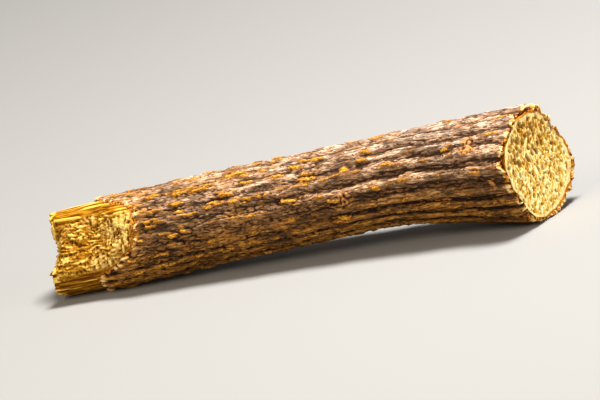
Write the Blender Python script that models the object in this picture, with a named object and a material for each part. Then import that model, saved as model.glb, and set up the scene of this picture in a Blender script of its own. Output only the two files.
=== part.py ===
"""A cut length of dried giloy stem, a ribbed climbing stem, lying on its side.

Metres, with +Z up. The stem runs along X. Its clean cut end, which flares, is at +X, and its broken end,
where a stub of bare wood stands out of the bark, is at -X. -Y is the side that shows best. The origin is
on the surface that the stem lies on, under the middle of its box.

The whole stem is one solid. It starts as a cylinder of unit size whose columns follow the ribs, and each
of its points is then moved to its place: along the stem, round it, and out to the bark or the wood.
"""

import math
import random

import bmesh
import bpy
from mathutils import Vector, noise

MM = 0.001

# Driving dimensions
LENGTH = 88.6 * MM  # from the tip of the bare wood to the cut, along the middle
WAIST_RADIUS = 7.4 * MM  # of the bark where the stem is thinnest
TAIL_SWELLING = 0.35 * MM  # what the bark gains towards the broken end
TAIL_SHARE = 0.45  # share of the length over which it does
FLARE = 2.2 * MM  # what the bark gains at the cut
FLARE_START = 0.68  # share of the length where the flare begins
FLARE_POWER = 1.3
BARK_THICKNESS = 0.95 * MM
OVALITY = 0.02  # share of the radius by which the stem is taller than wide
# How the flare departs from round: (times it swells in a turn, share of the radius, angle of one swelling)
FLARE_CORNERS = (
    (2, 0.06, math.radians(-56)),
    (4, 0.045, math.radians(-20)),
)

# Ribs and the furrows between them
RIBS = 18
RIB_PHASES = (0.0, 0.14, 0.38, 0.62, 0.86)  # where a rib has columns, 0 being its furrow
RIB_SHARPNESS = 3.0  # higher means flatter ribs and narrower furrows
RIB_UNEVENNESS = 0.28  # share by which a rib's width varies
FURROW_DEPTH = 0.72 * MM
FURROW_MEAN = 0.85  # a furrow's mean depth, as a share of that
FURROW_CHANGE = 0.75  # share by which the depth comes and goes
FURROW_CHANGES = 3.1  # how often it does so over the length
FURROW_GAP = 5.7  # far enough apart in the noise for two furrows to differ
TAIL_FURROW_SHARE = 0.55  # the furrows' depth at the broken end, as a share of that at the cut
DEEPENING = (0.35, 0.75)  # shares of the length between which they deepen
RIB_TWIST = math.radians(-9)  # over the whole length
RIB_WANDER = math.radians(5)
WANDERS = 2.2  # how often the ribs sway over the length
WANDERS_AROUND = 1.3
LUMP_HEIGHT = 0.3 * MM
LUMP_SIZE = 11 * MM
KNOB_HEIGHT = 0.16 * MM
KNOB_SIZE = 2.6 * MM
LAYER_GAP = 17.3  # far enough apart for two layers of noise to differ

# How the stem lies
SIDE_BEND = 0.7 * MM
FLAT_DEPTH = 0.4 * MM  # what the two flat spots take off the underside, one at each end

# The clean cut
CUT_SLANT = math.radians(13.8)  # the cut faces a little towards -Y
LIP = 0.3 * MM  # rounding of the bark's edge
CUT_SHARES = (0.0, 0.16, 0.34, 0.54, 0.76, 0.88, 0.94)  # where the cut has rings, 1 being its outline
BARK_RING = 0.91  # inner radius of the bark on the cut, as a share of the outer one
BARK_RING_BLUR = 0.02
WOOD_RECESS = 0.3 * MM  # the wood's face under the bark's edge
RAY_DEPTH = 0.12 * MM  # grooves that run out from the middle, one for each furrow
RAY_SHARES = (0.4, 0.85)  # where they begin, and where they are deepest
CUT_ROUGHNESS = 0.16 * MM
PITH_DEPTH = 0.15 * MM
PITH_SHARE = 0.32
EDGE_POWER = 4  # how closely what shapes an edge keeps to it

# The broken end. An angle round the stem is 0 at +Y and 90 degrees at the top
BREAK_ANGLE = math.radians(150)  # the side where bark and wood broke off farthest
STUB_FRONT = 17.7 * MM  # length of bare wood on that side
STUB_BACK = 8.6 * MM
BREAK_INNER = math.radians(15)  # turn from the break's middle where the bare wood begins to shorten
BREAK_OUTER = math.radians(75)  # and where it is as short as at the back
BARK_RAGGEDNESS = 0.9 * MM
BARK_TEARS = ((2.6, 1.0, 4.0), (6.0, 0.6, 9.0))  # (waves, share, layer) of the noise in the torn edge
TIP_FRONT = 2.6 * MM  # how far the wood is broken back on that side
TIP_MIDDLE = 1.56 * MM  # the same in the middle of the broken face
TIP_RAGGEDNESS = 0.7 * MM
TIP_TEARS = (3.5, 2.0)  # (waves, layer)
STUB_GROOVE = 0.35 * MM
STUB_GROOVES = 7.0
STUB_GROOVE_RUN = 83 * MM  # length over which a groove turns into another
SPLIT_AT_TIP = 5.6 * MM  # from the centreline to the hollow that the lost sliver left in the wood
SPLIT_HOLLOW = 4.7 * MM  # the same where the hollow is deepest
SPLIT_HOLLOW_AT = 9.5 * MM  # from the tip
SPLIT_AT_BARK = 7.7 * MM
SPLIT_RISE_POWER = 1.4
SPLIT_ROUGHNESS = 0.4 * MM
SPLIT_REACH = math.radians(72)  # turn from the break's middle within which the hollow is looked for

# Scars of buds and aerial roots: (distance from the tip, angle, radius, height)
SCARS = (
    (78.5 * MM, math.radians(142), 1.7 * MM, 0.75 * MM),
    (57.0 * MM, math.radians(140), 1.2 * MM, 0.4 * MM),
    (69.0 * MM, math.radians(159), 1.2 * MM, 0.35 * MM),
    (82.3 * MM, math.radians(173), 1.4 * MM, 0.45 * MM),
    (36.0 * MM, math.radians(20), 1.8 * MM, 0.6 * MM),
    (63.0 * MM, math.radians(338), 1.5 * MM, 0.55 * MM),
)

# How finely the cylinder is divided
COLUMNS = RIBS * len(RIB_PHASES)
STUB_RINGS = 11
LIP_RINGS = 2
BARK_RINGS = 38
RINGS = STUB_RINGS + LIP_RINGS + BARK_RINGS
CAP_STEP = 1 / len(CUT_SHARES)
LIP_STARTS = (0.3, 2.3)  # where the torn lip's foot and the bark behind it begin, in lips from the torn edge

BARK_COLOUR = (0.25, 0.15, 0.085)
BARK_ROUGHNESS = 0.85
WOOD_COLOUR = (0.75, 0.50, 0.19)
WOOD_ROUGHNESS = 0.8

SEED = 11


def blend(a, b, share):
    """The value a share of the way from a to b."""
    return a + (b - a) * share


def smooth(low, high, value):
    """0 below low, 1 above high, and an even S between."""
    share = min(max((value - low) / (high - low), 0.0), 1.0)
    return share * share * (3 - 2 * share)


def waviness(x, angle, size, layer):
    """Smooth noise from -1 to 1 on the stem's skin, with bumps of that size."""
    at = Vector((x, WAIST_RADIUS * math.cos(angle), WAIST_RADIUS * math.sin(angle)))
    return noise.noise(at / size + Vector((0, 0, LAYER_GAP * layer)))


def edge_noise(angle, waves, layer):
    """Smooth noise from -1 to 1 in one turn round the stem, finer with more waves."""
    return noise.noise(Vector((waves * math.cos(angle), waves * math.sin(angle), layer)))


def rib_starts():
    """The angle of each furrow at the middle of the length, and the full turn after the last."""
    draw = random.Random(SEED)
    widths = [1 + draw.uniform(-RIB_UNEVENNESS, RIB_UNEVENNESS) for _ in range(RIBS)]
    starts = [0.0]
    for width in widths:
        starts.append(starts[-1] + width * math.tau / sum(widths))
    return starts


FURROWS = rib_starts()


def furrow_shift(x, angle):
    """How far a furrow has turned round the stem at this distance from the tip."""
    along = x / LENGTH
    around = Vector((0.0, math.cos(angle), math.sin(angle))) * WANDERS_AROUND
    slow = noise.noise(around + Vector((WANDERS * along, 0.0, 0.0)))
    return RIB_TWIST * (along - 0.5) + RIB_WANDER * slow


def column_angle(column, x):
    """The angle of a column of points, which follows its rib along the stem."""
    rib, place = divmod(column, len(RIB_PHASES))
    angle = blend(FURROWS[rib], FURROWS[rib + 1], RIB_PHASES[place])
    return angle + furrow_shift(x, angle)


def rib_height(column, x):
    """Height of the ribbing at a column: 0 on a rib's back, and minus the furrow's depth in a furrow."""
    rib, place = divmod(column, len(RIB_PHASES))
    furrow = abs(math.cos(math.pi * RIB_PHASES[place])) ** RIB_SHARPNESS
    nearest = rib if RIB_PHASES[place] < 0.5 else (rib + 1) % RIBS
    along = x / LENGTH
    change = noise.noise(Vector((FURROW_CHANGES * along, FURROW_GAP * nearest, 0.0)))
    depth = FURROW_DEPTH * blend(TAIL_FURROW_SHARE, 1.0, smooth(*DEEPENING, along))
    return -depth * (FURROW_MEAN + FURROW_CHANGE * change) * furrow


def flare_share(x):
    """How far the stem has flared: 0 up to where the flare begins, 1 at the cut."""
    return max(0.0, (x / LENGTH - FLARE_START) / (1 - FLARE_START)) ** FLARE_POWER


def mean_radius(x):
    """Radius of the bark without its ribs and lumps, taken right round."""
    swelling = TAIL_SWELLING * (1 - smooth(0.0, TAIL_SHARE, x / LENGTH))
    return WAIST_RADIUS + swelling + FLARE * flare_share(x)


def bark_radius(column, x):
    """Radius of the bark at a column, with its ribs, lumps and scars."""
    angle = column_angle(column, x)
    shape = 1 - OVALITY * math.cos(2 * angle)
    for times, share, swell_angle in FLARE_CORNERS:
        shape += min(flare_share(x), 1.0) * share * math.cos(times * (angle - swell_angle))
    radius = mean_radius(x) * shape
    radius += LUMP_HEIGHT * waviness(x, angle, LUMP_SIZE, 1)
    radius += KNOB_HEIGHT * waviness(x, angle, KNOB_SIZE, 2)
    return radius + rib_height(column, x) + scar_height(x, angle)


def scar_height(x, angle):
    """The low mounds of the bud and root scars."""
    height = 0.0
    for scar_x, scar_angle, scar_radius, scar_rise in SCARS:
        turn = (angle - scar_angle + math.pi) % math.tau - math.pi
        away = math.hypot(x - scar_x, turn * WAIST_RADIUS) / scar_radius
        height += scar_rise * math.exp(-away * away)
    return height


def split_distance(x):
    """Distance from the centreline to the hollow where a sliver split off the wood."""
    if x < SPLIT_HOLLOW_AT:
        return blend(SPLIT_AT_TIP, SPLIT_HOLLOW, smooth(0.0, SPLIT_HOLLOW_AT, x))
    share = (x - SPLIT_HOLLOW_AT) / (STUB_FRONT - SPLIT_HOLLOW_AT)
    return blend(SPLIT_HOLLOW, SPLIT_AT_BARK, share**SPLIT_RISE_POWER)


def wood_radius(x, angle):
    """Radius of the bare wood at the broken end: round and grooved, and hollowed by the split."""
    groove = edge_noise(angle, STUB_GROOVES, x / STUB_GROOVE_RUN)
    radius = WAIST_RADIUS + TAIL_SWELLING - BARK_THICKNESS + STUB_GROOVE * groove
    toward_split = math.cos(angle - BREAK_ANGLE)
    if toward_split > math.cos(SPLIT_REACH):
        rough = SPLIT_ROUGHNESS * waviness(x, angle, KNOB_SIZE, 3)
        radius = min(radius, (split_distance(x) + rough) / toward_split)
    return radius


def in_break(angle):
    """1 on the side where most broke off, falling to 0 at the back."""
    turn = abs((angle - BREAK_ANGLE + math.pi) % math.tau - math.pi)
    return 1 - smooth(BREAK_INNER, BREAK_OUTER, turn)


def bark_edge(angle):
    """Where the bark begins, as a distance from the tip, with a torn edge."""
    torn = sum(share * edge_noise(angle, waves, layer) for waves, share, layer in BARK_TEARS)
    return blend(STUB_BACK, STUB_FRONT, in_break(angle)) + BARK_RAGGEDNESS * torn


def tip_edge(angle):
    """Where the bare wood ends, which is broken back a little on the break's side."""
    torn = edge_noise(angle, *TIP_TEARS)
    return TIP_FRONT * in_break(angle) + TIP_RAGGEDNESS * (1 + torn)


def centre(x):
    """The centreline's Y and Z at a distance from the tip: the stem's top is straight, its underside not."""
    along = x / LENGTH
    top = blend(2 * mean_radius(0.0), 2 * mean_radius(LENGTH), along)
    return SIDE_BEND * math.sin(math.pi * along), top - mean_radius(x)


def around(x, angle, radius):
    """The point at a radius and an angle from the centreline."""
    y, z = centre(x)
    return Vector((x, y + radius * math.cos(angle), z + radius * math.sin(angle)))


def cut_x(angle, radius):
    """Where the clean cut crosses the stem at a radius and an angle."""
    return LENGTH + math.tan(CUT_SLANT) * radius * math.cos(angle)


def side_point(column, ring):
    """A point of the stem's side: bare wood first, then the bark's torn lip, the bark, and its cut lip."""
    rough_angle = column_angle(column, 0.0)
    edge = bark_edge(rough_angle)
    if ring <= STUB_RINGS:
        x = blend(tip_edge(rough_angle), edge, ring / STUB_RINGS)
        angle = column_angle(column, x)
        return around(x, angle, wood_radius(x, angle))
    if ring <= STUB_RINGS + LIP_RINGS:
        lip = LIP * (STUB_RINGS + LIP_RINGS - ring)
        x = edge + LIP * blend(*LIP_STARTS, (ring - STUB_RINGS - 1) / (LIP_RINGS - 1))
        return around(x, column_angle(column, x), bark_radius(column, x) - lip)
    end_angle = column_angle(column, LENGTH)
    end = cut_x(end_angle, bark_radius(column, LENGTH))
    share = (ring - STUB_RINGS - LIP_RINGS) / BARK_RINGS
    x = blend(edge + LIP * LIP_STARTS[1], end, share)
    lip = LIP if ring == RINGS else 0.0
    return around(x, column_angle(column, x), bark_radius(column, x) - lip)


def cut_point(column, share):
    """A point of the clean cut: the bark's ring, then the wood with its rays and the pith."""
    angle = column_angle(column, LENGTH)
    ribbing = rib_height(column, LENGTH)
    radius = share * (bark_radius(column, LENGTH) - ribbing - LIP) + share**EDGE_POWER * ribbing
    in_wood = 1 - smooth(BARK_RING - BARK_RING_BLUR, BARK_RING + BARK_RING_BLUR, share)
    ray = RAY_DEPTH * ribbing / FURROW_DEPTH * smooth(*RAY_SHARES, share)
    pith = PITH_DEPTH * (1 - smooth(0.0, PITH_SHARE, share))
    across = Vector((math.cos(angle), math.sin(angle), 0.0)) * radius
    rough = CUT_ROUGHNESS * noise.noise(across / KNOB_SIZE)
    point = around(LENGTH, angle, radius)
    point.x = cut_x(angle, radius) - in_wood * (WOOD_RECESS - ray + pith - rough)
    return point


def tip_point(column, share):
    """A point of the broken end face of the bare wood."""
    rim = side_point(column, 0)
    middle = around(TIP_MIDDLE, 0.0, 0.0)
    point = middle.lerp(rim, share)
    torn = noise.noise(Vector((0.0, point.y, point.z)) / KNOB_SIZE)
    point.x += TIP_RAGGEDNESS * torn * (1 - share**EDGE_POWER)
    return point


def divided_cylinder():
    """A closed unit cylinder with a column for each part of a rib, rings along it, and rings on its caps."""
    mesh = bmesh.new()
    bmesh.ops.create_cone(
        mesh, cap_ends=True, cap_tris=False, segments=COLUMNS, radius1=1.0, radius2=1.0, depth=1.0
    )
    lengthwise = [e for e in mesh.edges if abs(e.verts[0].co.z - e.verts[1].co.z) > 0.5]
    bmesh.ops.subdivide_edges(mesh, edges=lengthwise, cuts=RINGS - 1)
    caps = [f for f in mesh.faces if len(f.verts) > 4]
    for _ in CUT_SHARES[1:]:
        bmesh.ops.inset_individual(mesh, faces=caps, thickness=CAP_STEP, use_even_offset=True)
    bmesh.ops.poke(mesh, faces=caps)
    return mesh


def place(vertex):
    """Where a point of the unit cylinder lies on the stem."""
    column = round(math.atan2(vertex.y, vertex.x) / math.tau * COLUMNS) % COLUMNS
    ring = round((vertex.z + 0.5) * RINGS)
    cap_ring = round(math.hypot(vertex.x, vertex.y) / CAP_STEP)
    if cap_ring == len(CUT_SHARES):
        return side_point(column, ring)
    if ring == RINGS:
        return cut_point(column, CUT_SHARES[cap_ring])
    return tip_point(column, cap_ring * CAP_STEP)


def lowest(points):
    """The lowest of some points."""
    return min(points, key=lambda p: p.z)


def rest_on_floor(points):
    """Lowers both ends a little into the floor, flattens them there, and centres the stem over the origin."""
    tail = lowest([p for p in points if p.x < LENGTH / 2])
    head = lowest([p for p in points if p.x > LENGTH / 2])
    middle_x = (min(p.x for p in points) + max(p.x for p in points)) / 2
    middle_y = (min(p.y for p in points) + max(p.y for p in points)) / 2
    resting = []
    for point in points:
        drop = blend(tail.z, head.z, (point.x - tail.x) / (head.x - tail.x)) + FLAT_DEPTH
        resting.append(Vector((point.x - middle_x, point.y - middle_y, max(point.z - drop, 0.0))))
    return resting


def material(name, colour, roughness):
    """A plain material of one colour."""
    made = bpy.data.materials.new(name)
    made.use_nodes = True
    shader = made.node_tree.nodes["Principled BSDF"]
    shader.inputs["Base Color"].default_value = (*colour, 1.0)
    shader.inputs["Roughness"].default_value = roughness
    shader.inputs["Metallic"].default_value = 0.0
    return made


def is_wood(face):
    """Whether a face of the unit cylinder is bare wood: the stub, its tip, or the cut inside the bark."""
    middle = face.calc_center_median()
    ring = (middle.z + 0.5) * RINGS
    inside_bark = math.hypot(middle.x, middle.y) < 1 - 2 * CAP_STEP
    return ring < STUB_RINGS or (round(ring) == RINGS and inside_bark)


def make_stem(collection):
    """The stem as one object, bark and bare wood in one skin."""
    shape = divided_cylinder()
    for face in shape.faces:
        face.material_index = int(is_wood(face))
        face.smooth = True
    points = rest_on_floor([place(v.co) for v in shape.verts])
    for vertex, point in zip(shape.verts, points):
        vertex.co = point
    bmesh.ops.triangulate(shape, faces=shape.faces)
    bmesh.ops.recalc_face_normals(shape, faces=shape.faces)
    mesh = bpy.data.meshes.new("stem")
    shape.to_mesh(mesh)
    shape.free()
    mesh.materials.append(material("bark", BARK_COLOUR, BARK_ROUGHNESS))
    mesh.materials.append(material("wood", WOOD_COLOUR, WOOD_ROUGHNESS))
    stem = bpy.data.objects.new("stem", mesh)
    collection.objects.link(stem)
    return stem


def main():
    for old in list(bpy.data.objects):
        bpy.data.objects.remove(old)
    collection = bpy.data.collections.new("giloy_stem")
    bpy.context.scene.collection.children.link(collection)
    make_stem(collection)


main()
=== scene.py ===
"""The looks of a dried giloy stem: ribbed brown bark with golden flecks, and bare yellow wood at both ends.

Lengths are in metres. Two closed pieces stand for the stem, the bark and the wood inside it. Both are grids
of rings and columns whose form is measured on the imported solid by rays, and fine relief is added to that.
An angle round the stem is 0 at +Y, a quarter turn at the top, and half a turn on the side that shows best.
"""

import math
import random

import bmesh
import bpy
import numpy as np
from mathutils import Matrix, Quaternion, Vector, noise
from mathutils.bvhtree import BVHTree


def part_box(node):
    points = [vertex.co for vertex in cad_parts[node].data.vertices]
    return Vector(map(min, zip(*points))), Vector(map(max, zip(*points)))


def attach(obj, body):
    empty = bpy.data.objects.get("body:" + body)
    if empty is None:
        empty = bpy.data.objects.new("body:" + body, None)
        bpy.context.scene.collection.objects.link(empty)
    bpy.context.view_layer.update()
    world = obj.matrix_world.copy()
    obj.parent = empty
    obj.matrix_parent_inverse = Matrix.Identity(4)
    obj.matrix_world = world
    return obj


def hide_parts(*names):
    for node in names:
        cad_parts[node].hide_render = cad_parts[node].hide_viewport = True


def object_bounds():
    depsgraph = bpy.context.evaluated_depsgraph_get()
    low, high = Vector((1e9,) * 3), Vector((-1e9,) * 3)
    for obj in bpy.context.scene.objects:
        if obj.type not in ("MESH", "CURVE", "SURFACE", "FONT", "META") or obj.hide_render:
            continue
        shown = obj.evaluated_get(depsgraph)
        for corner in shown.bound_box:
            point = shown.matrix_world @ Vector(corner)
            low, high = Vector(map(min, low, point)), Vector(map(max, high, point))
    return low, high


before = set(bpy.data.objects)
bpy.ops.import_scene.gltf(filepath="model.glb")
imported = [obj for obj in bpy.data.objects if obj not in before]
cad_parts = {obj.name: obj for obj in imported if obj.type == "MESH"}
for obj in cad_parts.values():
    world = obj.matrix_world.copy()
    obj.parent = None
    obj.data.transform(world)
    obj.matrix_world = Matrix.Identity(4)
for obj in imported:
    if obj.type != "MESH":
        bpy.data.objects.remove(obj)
CAD_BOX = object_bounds()

MM = 0.001
SEED = 5
NOISE_SHIFT = 17.3  # how far apart the layers of noise are taken
CRACK_SHIFT = 11.9  # how far apart the layers of cracks are taken

# The grids
COLUMNS = 384
BARK_RINGS = 232
STUB_RINGS = 112
FACE_RINGS = 72
TIP_RINGS = 26
# Rows of the grids that are few, as shares of the way along what they cross
CUT_RIM_DEPTHS = (0.2, 0.4, 0.6, 0.8, 1.0)  # from the bark's outside to its inside
INSIDE_SHARES = (0.98, 0.66, 0.33, 0.02)  # of the bark's length, back from the cut
TORN_RIM_DEPTHS = (1.0, 0.75, 0.5, 0.25)  # from the bark's inside back to its outside
HIDDEN_SHARES = (0.1, 0.4, 0.7, 0.94, 0.994)  # of the wood under the bark, on to the cut

# How the solid is measured
FAR = 30 * MM  # where rays start, outside the stem
STATIONS = 28  # sections that the centreline is fitted to
END_MARGIN = 5 * MM  # how far inside the stem's ends the first and last of them lie
NEAR_CUT = 3 * MM  # how far inside its end the cut's middle is taken
LONGEST_STUB = 24 * MM  # the bark begins nearer to the broken end than this
SHORTEST_STUB = 3 * MM  # and farther from it than this
TIP_RADIUS = 2.5 * MM  # the wood begins where it is thicker than this
SEARCH_STEP = 0.2 * MM

# Plain radii at which noise is taken, where the real one is not needed
BARK_RADIUS = 7.5 * MM
BARK_EDGE_RADIUS = 7 * MM
WOOD_RADIUS = 6 * MM

# Bark
BARK_THICKNESS = (0.95 * MM, 0.7 * MM)  # at the torn end and at the cut
EDGE_MARGIN = 0.9 * MM  # nearer to its ends the bark's radius is taken from this far inside
BARK_SMOOTH_RINGS = 3
BARK_SMOOTH_COLUMNS = 1.6
RIB_WIDTH_COLUMNS = 15
RIB_WANDER = 0.05  # radians
RIB_SHARES = (0.7, 1.3)  # of the solid's ribs, at the torn end and at the cut
BARK_LIFT = 0.13 * MM  # makes up for its cracks, so that the bark keeps the solid's size
LUMP_HEIGHT = 0.13 * MM
PLATE_CRACK_DEPTH = 0.3 * MM
FINE_CRACK_DEPTH = 0.18 * MM
PEBBLE_HEIGHT = 0.1 * MM
HEIGHT_SPAN = 0.36 * MM  # of relief, for the mask that darkens low parts as painted shade and pales high ones partly as wear and partly as painted highlight
FLECKS = 640
FLECK_BIAS = 1.35  # above 1, more of them lie toward the torn end
FLECK_HALF_LENGTHS = (0.4, 1.5)  # the least and the most, in mm
FLECK_HALF_WIDTHS = (0.15, 0.34)  # the least and the most, in mm
FLECK_HEIGHT = 0.2 * MM
BEAD_HEIGHT = 0.3 * MM
EDGE_THINNING = 0.45 * MM  # of the bark at its torn edge
EDGE_THINNING_RINGS = 4
CUT_LIP = 0.12 * MM  # rounds the bark off at its cut edge
CUT_LIP_RINGS = 2
CHIPS_DEPTH = 0.5 * MM  # of the small chips all round the cut edge
CHIP = (math.radians(157), math.radians(11), 0.7 * MM)  # the large chip's angle, half width and depth
CRACK_WIDTH = 0.3  # as a share of the plates between the cracks
TEETH = (0.5 * MM, 0.3 * MM)  # how long the coarse and the fine teeth of a torn edge are

# Knotty scars on the bark, at (x, angle, half length along the stem, half width across it)
SCARS = (
    (34.3 * MM, math.radians(138), 1.5 * MM, 1.7 * MM),
    (10.9 * MM, math.radians(176), 1.2 * MM, 1.0 * MM),
    (35.6 * MM, math.radians(165), 0.6 * MM, 0.9 * MM),
    (37.6 * MM, math.radians(179), 0.6 * MM, 0.8 * MM),
    (-9.3 * MM, math.radians(20), 1.6 * MM, 1.5 * MM),
    (17.7 * MM, math.radians(338), 1.3 * MM, 1.2 * MM),
)
SCAR_HEIGHT = 0.3 * MM

# The flecks that stand out on the side that shows best, at (x in mm, angle in degrees, half length in mm,
# half width in mm)
BRIGHT_FLECKS = (
    (-25.0, 116, 1.1, 0.26),
    (-24.5, 157, 0.9, 0.30),
    (-24.0, 138, 1.0, 0.30),
    (-20.0, 118, 1.1, 0.26),
    (-20.0, 134, 1.0, 0.26),
    (-19.0, 145, 1.2, 0.30),
    (-17.0, 152, 1.1, 0.26),
    (-15.5, 120, 1.7, 0.26),
    (-13.0, 143, 0.9, 0.30),
    (-10.6, 136, 1.5, 0.30),
    (-9.5, 105, 2.0, 0.35),
    (-8.8, 148, 1.0, 0.30),
    (-7.0, 124, 1.4, 0.26),
    (-1.2, 125, 1.5, 0.30),
    (0.7, 163, 1.3, 0.35),
    (2.2, 119, 1.3, 0.35),
    (4.4, 139, 1.6, 0.40),
    (6.0, 113, 1.1, 0.44),
    (8.8, 176, 1.2, 0.40),
    (9.6, 203, 1.4, 0.35),
    (11.3, 138, 0.75, 0.62),
    (14.4, 130, 1.1, 0.30),
    (14.8, 117, 1.1, 0.26),
    (17.0, 171, 0.9, 0.35),
    (19.3, 143, 0.9, 0.30),
    (29.6, 137, 0.8, 0.26),
    (38.4, 126, 1.0, 0.35),
    (39.6, 102, 1.5, 0.35),
)

# Wood
WOOD_LAP = 0.12 * MM  # of the cut wood into the bark
STUB_LAP = 1.2 * MM  # of the bare wood under the bark's torn edge
PITS = 100
PIT_GAP = 0.95 * MM
PIT_DEPTH = 0.45 * MM
PORE_DEPTH = 0.12 * MM
BIG_PITS = (  # (Y and Z from the middle, radius)
    (-3.6 * MM, 5.4 * MM, 0.48 * MM),
    (-5.6 * MM, 2.6 * MM, 0.4 * MM),
    (-1.2 * MM, 7.0 * MM, 0.34 * MM),
)
STRAND_HEIGHT = 0.06 * MM
FIBRE_HEIGHT = 0.26 * MM
TUFT_HEIGHT = 0.2 * MM
TORN_PORE_DEPTH = 0.3 * MM
STUB_SWELL = 0.4 * MM  # of the bare wood along its top
# The hollow in the bare wood's side: its upper edge at the tip and at the bark, and its lower edge
BROKEN_SIDE = (math.radians(133), math.radians(129), math.radians(200))

# Colours of the bark. A pair is for the stem's top and its underside, where the underside's darker, warmer
# colour is painted shade, or as its comment says.
STREAK_DARK = ((0.26, 0.135, 0.073), (0.11, 0.033, 0.0037))
STREAK_LIGHT = ((0.60, 0.345, 0.192), (0.31, 0.112, 0.013))
YELLOW_PATCH = (0.53, 0.24, 0.042)
# pale on the high crests, partly worn bark and partly painted highlight
WORN_AND_HIGHLIGHT_TOP = ((0.84, 0.62, 0.47), (0.66, 0.46, 0.32))  # at the cut and at the torn end
WORN_AND_HIGHLIGHT_UNDER = (0.57, 0.27, 0.05)
BRIGHT_STREAK = ((0.62, 0.40, 0.25), (0.42, 0.18, 0.03))
DARK_STREAK = (0.085, 0.041, 0.018)
# painted shade in the furrows between the ribs
FURROW_SHADE = (0.07, 0.031, 0.012)
THIN_CRACK = (0.03, 0.012, 0.004)
DARK_PATCH = (0.04, 0.017, 0.006)
# painted shade in the cracks, for the stem's top and its underside
CRACK_SHADE = ((0.055, 0.026, 0.013), (0.011, 0.004, 0.001))
GOLD_CHAIN = (0.55, 0.24, 0.03)
FLECK_EDGE = (0.24, 0.085, 0.008)
FLECK_GOLD = ((0.42, 0.14, 0.006), (0.84, 0.42, 0.045))  # its dark and its light specks
SCAR_SHADE_AND_TAN = ((0.08, 0.028, 0.007), (0.66, 0.27, 0.055))  # painted shade low on a scar, and tan high on it
RIM_ORANGE = ((0.13, 0.028, 0.003), (0.66, 0.26, 0.022))  # its dark and its light crumbs
RIM_BEAD = (0.95, 0.68, 0.28)
# painted shade in the low gaps of the rims
RIM_GAP_SHADE = (0.07, 0.014, 0.001)

# Colours of the wood. A pair is its darker and its lighter parts, or as its comment says.
CUT_YELLOW = ((0.76, 0.42, 0.052), (0.46, 0.20, 0.014))  # on the cut's lower part and its upper part, where it is darker as painted shade
CUT_CREAM = ((1.0, 0.90, 0.44), (0.97, 0.72, 0.24))  # on the cut's lower part and its upper part, where it is darker as painted shade
CUT_DARK = (0.27, 0.09, 0.004)
PALE_RING = (0.97, 0.74, 0.30)
DARK_RING = (0.50, 0.17, 0.014)
FIBRE_GOLD = ((0.15, 0.042, 0.001), (0.47, 0.200, 0.006))
FIBRE_PALE = (0.90, 0.56, 0.08)
FIBRE_DARK = (0.13, 0.034, 0.001)
HOLLOW_GOLD = ((0.09, 0.030, 0.001), (0.36, 0.15, 0.005))
HOLLOW_PALE = (0.97, 0.64, 0.15)
HOLLOW_SOFT = (0.90, 0.62, 0.20)
HOLLOW_GRAIN = (0.80, 0.46, 0.06)
CRUST = ((0.14, 0.035, 0.002), (0.60, 0.22, 0.014))
# the open pores' brown, and painted shade in the low parts of the broken tip
PIT_BROWN_AND_TIP_SHADE = (0.15, 0.058, 0.003)

FLOOR_GREY = (0.29, 0.286, 0.279)

# The camera
AZIMUTH = math.radians(25)
ELEVATION = math.radians(15)
ROLL = math.radians(16.1)
LENS_MM = 500
SENSOR_MM = 36
VIEW_WIDTH = 98 * MM  # how much of the scene the image is wide


def blend(a, b, share):
    """The value a share of the way from a to b."""
    return a + (b - a) * share


def smooth(low, high, value):
    """0 at low, 1 at high, and an even S between. Low may be the greater of the two."""
    share = np.clip((value - low) / (high - low), 0, 1)
    return share * share * (3 - 2 * share)


def turn_between(a, b):
    """The turn from one angle to another, from minus half a turn to half a turn."""
    return (b - a + math.pi) % math.tau - math.pi


def lengthwise(along, across):
    """The size of bumps that are longer along the stem, in millimetres."""
    return (along * MM, across * MM, across * MM)


def on_cut(sideways, upward):
    """The size of bumps on the ends of the wood, in millimetres."""
    return (MM, sideways * MM, upward * MM)


def noise_at(points, size, layer):
    """Smooth noise from -1 to 1 at each point, with bumps of that size along X, Y and Z."""
    scaled = points / np.array(size) + NOISE_SHIFT * layer
    values = [noise.noise(p) for p in scaled.reshape(-1, 3).tolist()]
    return np.array(values).reshape(points.shape[:-1])


def creases(points, size, width, layer):
    """1 along the bottom of fine creases and 0 between them."""
    return 1 - np.clip(np.abs(noise_at(points, size, layer)) / width, 0, 1)


def cracks(points, size, width, layer):
    """1 along the edges of small plates and 0 on them."""
    scaled = points / np.array(size) + CRACK_SHIFT * layer
    values = []
    for point in scaled.reshape(-1, 3).tolist():
        nearest, second = noise.voronoi(point)[0][:2]
        values.append(second - nearest)
    return 1 - np.clip(np.array(values).reshape(points.shape[:-1]) / width, 0, 1)


def torn_edge(points, coarse, fine, layer):
    """How far each point of an edge is pushed along the stem, by teeth of two widths in millimetres."""
    pushed = TEETH[0] * noise_at(points, lengthwise(9, coarse), layer)
    return pushed + TEETH[1] * noise_at(points, lengthwise(9, fine), layer + 1)


def blurred_round(grid, columns):
    """A grid smoothed round the stem, over that many columns."""
    reach = math.ceil(3 * columns)
    weights = [math.exp(-0.5 * (k / columns) ** 2) for k in range(-reach, reach + 1)]
    total = sum(w * np.roll(grid, k, axis=-1) for w, k in zip(weights, range(-reach, reach + 1)))
    return total / sum(weights)


def blurred_along(grid, rings):
    """A grid smoothed along the stem, over that many rings."""
    reach = math.ceil(3 * rings)
    padded = np.concatenate([grid[:1]] * reach + [grid] + [grid[-1:]] * reach)
    weights = [math.exp(-0.5 * (k / rings) ** 2) for k in range(-reach, reach + 1)]
    total = sum(w * padded[k : k + len(grid)] for k, w in enumerate(weights))
    return total / sum(weights)


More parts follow.
